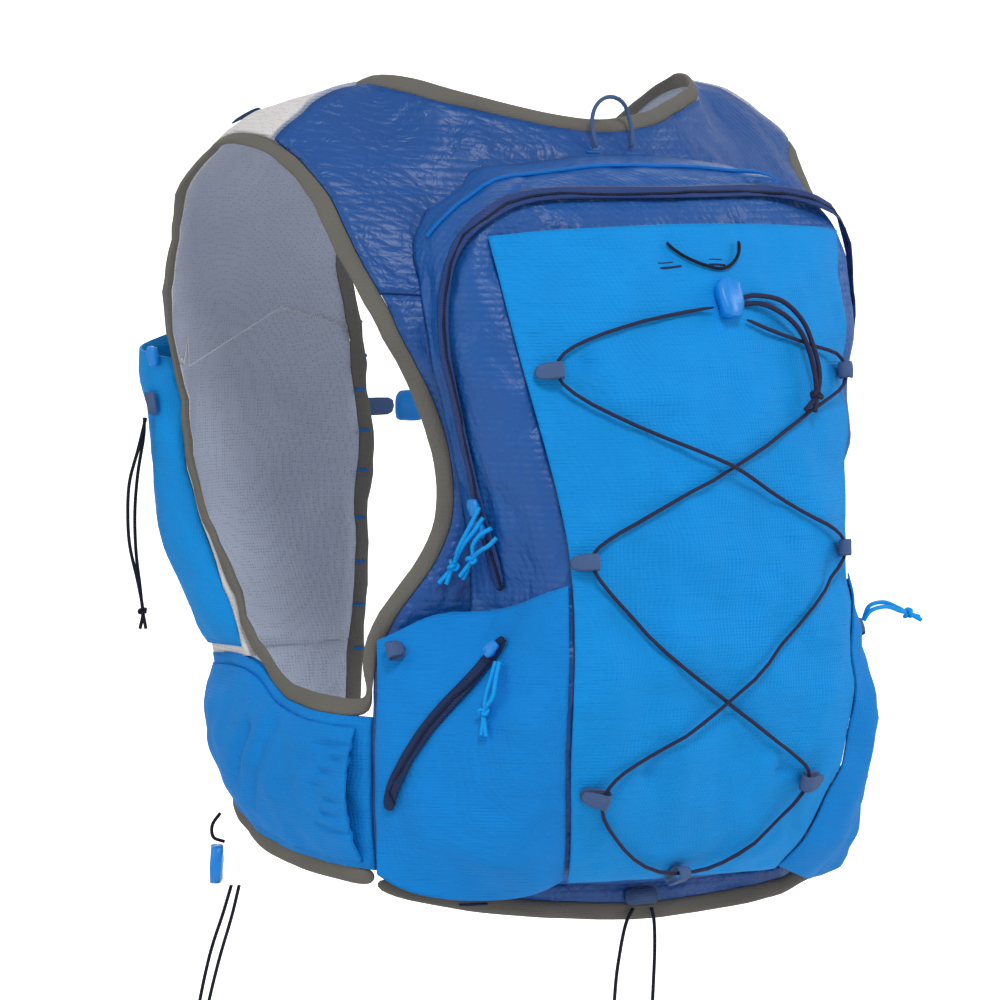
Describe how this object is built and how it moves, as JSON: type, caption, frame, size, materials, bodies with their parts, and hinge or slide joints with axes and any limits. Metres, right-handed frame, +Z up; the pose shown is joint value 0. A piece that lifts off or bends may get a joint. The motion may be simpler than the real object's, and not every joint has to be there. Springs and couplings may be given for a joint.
{
  "type": "running hydration vest",
  "caption": "Blue running hydration vest with a ripstop yoke, a stretch back pocket under bungee lacing, hip, wing and bottle pockets, bright zip pulls and a sternum buckle.",
  "frame": {"origin": "on the body's vertical axis, at the height of the shoulder straps' tops", "axes": "+X is the wearer's right, +Y is forward, away from the back pack, and +Z is up"},
  "size_m": [0.3308, 0.3249, 0.5407],
  "materials": {
    "yoke": "matte",
    "mesh": "matte",
    "shell": "matte",
    "azure": "matte",
    "strap_mesh": "matte",
    "hip": "matte",
    "binding": "matte",
    "zip": "matte",
    "plastic": "matte",
    "bright_cord": "matte",
    "dark_zip": "matte",
    "webbing": "matte",
    "bungee": "matte",
    "dark_cord": "matte"
  },
  "bodies": {
    "root": {"yoke": "yoke", "back_panel": "mesh", "pack_shell": "shell", "stretch_pocket": "azure", "front_panel_left": "strap_mesh", "side_wing_left": "strap_mesh", "hip_pocket_left": "hip", "wing_pocket_left": "hip", "bottle_pocket_left": "azure", "armhole_binding_left": "binding", "hem_binding_left": "binding", "front_panel_right": "strap_mesh", "side_wing_right": "strap_mesh", "hip_pocket_right": "hip", "wing_pocket_right": "hip", "bottle_pocket_right": "azure", "armhole_binding_right": "binding", "hem_binding_right": "binding", "hem_binding_back": "binding", "neck_binding": "binding", "main_zip": "zip", "main_zip_slider_lower": "plastic", "main_zip_pull_lower": "bright_cord", "main_zip_slider_upper": "plastic", "main_zip_pull_upper": "bright_cord", "hip_zip_left": "dark_zip", "hip_zip_slider_left": "plastic", "hip_zip_pull_left": "bright_cord", "gear_loop_left": "zip", "hose_loop_left": "webbing", "sternum_webbing_left": "webbing", "sternum_buckle": "plastic", "hip_zip_right": "dark_zip", "hip_zip_slider_right": "plastic", "hip_zip_pull_right": "bright_cord", "gear_loop_right": "zip", "hose_loop_right": "webbing", "sternum_webbing_right": "webbing", "bungee_lacing": "bungee", "lace_loop_left_top": "webbing", "lace_loop_left_middle": "webbing", "lace_loop_left_low": "webbing", "lace_loop_right_top": "webbing", "lace_loop_right_middle": "webbing", "lace_loop_right_low": "webbing", "lace_loop_bottom": "webbing", "cord_lock": "plastic", "lock_tether": "plastic", "bungee_tails": "bungee", "hang_loop": "bright_cord", "bottle_hook": "plastic", "bottle_tab": "webbing", "bottle_cords": "dark_cord", "wing_cord_lock": "plastic", "wing_cord_loop": "dark_cord", "wing_cords": "dark_cord", "hem_tab": "zip", "hem_tab_cord_left": "dark_cord", "hem_tab_cord_right": "dark_cord"}
  },
  "joints": []
}
